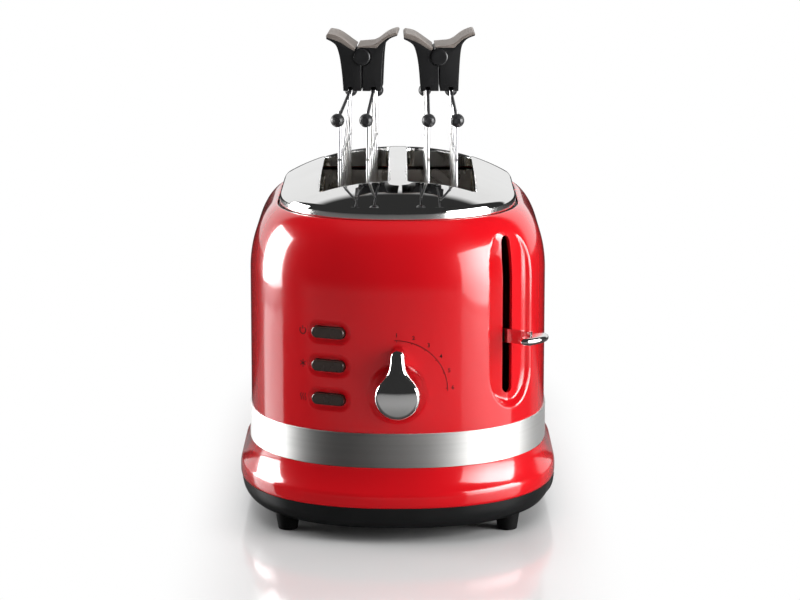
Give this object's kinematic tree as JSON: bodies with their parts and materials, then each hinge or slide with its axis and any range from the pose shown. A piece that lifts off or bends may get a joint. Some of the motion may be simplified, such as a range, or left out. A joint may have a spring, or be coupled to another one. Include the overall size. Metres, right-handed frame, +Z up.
{
  "type": "toaster",
  "caption": "Rounded enamel slot toaster with lever carriage, dial, push buttons, crumb tray and a sprung wire sandwich tong standing in each slot.",
  "frame": {"origin": "centre of the footprint at the table surface", "axes": "+Z up, -Y towards the front with the dial, +X to the right seen from the front"},
  "size_m": [0.1888, 0.2756, 0.283],
  "materials": {
    "black_plastic": "satin",
    "foot_rubber": "matte",
    "screw_steel": "satin",
    "red_enamel": "gloss",
    "brushed_band": "brushed",
    "chrome": "mirror",
    "seal_rubber": "matte",
    "plated_sheet": "satin",
    "mica_board": "matte",
    "heating_alloy": "satin",
    "guard_wire": "satin",
    "guide_steel": "polished",
    "magnet_coil": "satin",
    "board_green": "satin",
    "control_metal": "satin",
    "inner_plastic": "matte",
    "spring_steel": "satin",
    "lever_metal": "polished",
    "button_plastic": "gloss",
    "grip_plastic": "satin",
    "pad_rubber": "soft matte",
    "cage_chrome": "polished",
    "coated_wire": "satin",
    "pin_black": "satin"
  },
  "bodies": {
    "case": {"base_tray": "black_plastic", "feet": "foot_rubber", "screws": "screw_steel", "skirt": "red_enamel", "body_shell": "red_enamel", "metal_band": "brushed_band", "chrome_top": "chrome", "top_gasket": "seal_rubber", "front_chassis": "plated_sheet", "rear_chassis": "plated_sheet", "left_heat_shield": "plated_sheet", "right_heat_shield": "plated_sheet", "heater_boards": "mica_board", "heating_wires": "heating_alloy", "left_bread_guards": "guard_wire", "right_bread_guards": "guard_wire", "guide_rods": "guide_steel", "electromagnet": "magnet_coil", "circuit_board": "board_green", "potentiometer": "control_metal", "button_guide": "inner_plastic", "button_switches": "board_green", "terminal_block": "inner_plastic", "cord_inlet": "seal_rubber", "return_spring": "spring_steel"},
    "carriage": {"carriage_plate": "plated_sheet", "left_bread_rack": "guard_wire", "right_bread_rack": "guard_wire", "lever_arm": "lever_metal", "lever_handle": "chrome", "latch_plate": "guide_steel"},
    "left_tong_outer_half": {"left_tong_outer_grip": "grip_plastic", "left_tong_outer_pad": "pad_rubber", "left_tong_outer_cage": "cage_chrome", "left_tong_outer_rests": "coated_wire", "left_tong_pin": "pin_black"},
    "left_tong_inner_half": {"left_tong_inner_grip": "grip_plastic", "left_tong_inner_pad": "pad_rubber", "left_tong_inner_cage": "cage_chrome", "left_tong_inner_rests": "coated_wire"},
    "right_tong_outer_half": {"right_tong_outer_grip": "grip_plastic", "right_tong_outer_pad": "pad_rubber", "right_tong_outer_cage": "cage_chrome", "right_tong_outer_rests": "coated_wire", "right_tong_pin": "pin_black"},
    "right_tong_inner_half": {"right_tong_inner_grip": "grip_plastic", "right_tong_inner_pad": "pad_rubber", "right_tong_inner_cage": "cage_chrome", "right_tong_inner_rests": "coated_wire"},
    "knob": {"browning_knob": "chrome", "knob_shaft": "guide_steel"},
    "top_button": {"button_top": "button_plastic"},
    "middle_button": {"button_middle": "button_plastic"},
    "bottom_button": {"button_bottom": "button_plastic"},
    "crumb_drawer": {"crumb_tray": "plated_sheet", "tray_handle": "black_plastic"}
  },
  "joints": [
    {"name": "carriage_slide", "type": "slide", "parent": "case", "child": "carriage", "axis": [0, 0, 1], "range_m": [-0.029, 0.051], "stiffness_N_per_m": 63.5, "springref_m": 0.051, "deforming": ["return_spring"]},
    {"name": "left_tong_lift", "type": "slide", "parent": "carriage", "child": "left_tong_outer_half", "axis": [0, 0, 1], "range_m": [0, 0.19]},
    {"name": "left_tong_jaw", "type": "hinge", "parent": "left_tong_outer_half", "child": "left_tong_inner_half", "pos_m": [-0.02065, -0.0041, 0.2685], "axis": [-0.0314, -0.9995, 0], "range_deg": [0, 1.85], "stiffness_Nm_per_rad": 0.3, "springref_deg": -8.59},
    {"name": "right_tong_lift", "type": "slide", "parent": "carriage", "child": "right_tong_outer_half", "axis": [0, 0, 1], "range_m": [0, 0.19]},
    {"name": "right_tong_jaw", "type": "hinge", "parent": "right_tong_outer_half", "child": "right_tong_inner_half", "pos_m": [0.0245, -0.00401, 0.2685], "axis": [-0.007, 1, 0], "range_deg": [0, 2.4], "stiffness_Nm_per_rad": 0.3, "springref_deg": -8.59},
    {"name": "knob_turn", "type": "hinge", "parent": "case", "child": "knob", "pos_m": [0, -0.12, 0.0875], "axis": [0, 1, 0], "range_deg": [0, 90]},
    {"name": "top_button_push", "type": "slide", "parent": "case", "child": "top_button", "axis": [0.3827, 0.9239, 0], "range_m": [0, 0.002], "stiffness_N_per_m": 400, "springref_m": -0.0005},
    {"name": "middle_button_push", "type": "slide", "parent": "case", "child": "middle_button", "axis": [0.3827, 0.9239, 0], "range_m": [0, 0.002], "stiffness_N_per_m": 400, "springref_m": -0.0005},
    {"name": "bottom_button_push", "type": "slide", "parent": "case", "child": "bottom_button", "axis": [0.3827, 0.9239, 0], "range_m": [0, 0.002], "stiffness_N_per_m": 400, "springref_m": -0.0005},
    {"name": "crumb_tray_slide", "type": "slide", "parent": "case", "child": "crumb_drawer", "axis": [0, 1, 0], "range_m": [0, 0.2]}
  ]
}
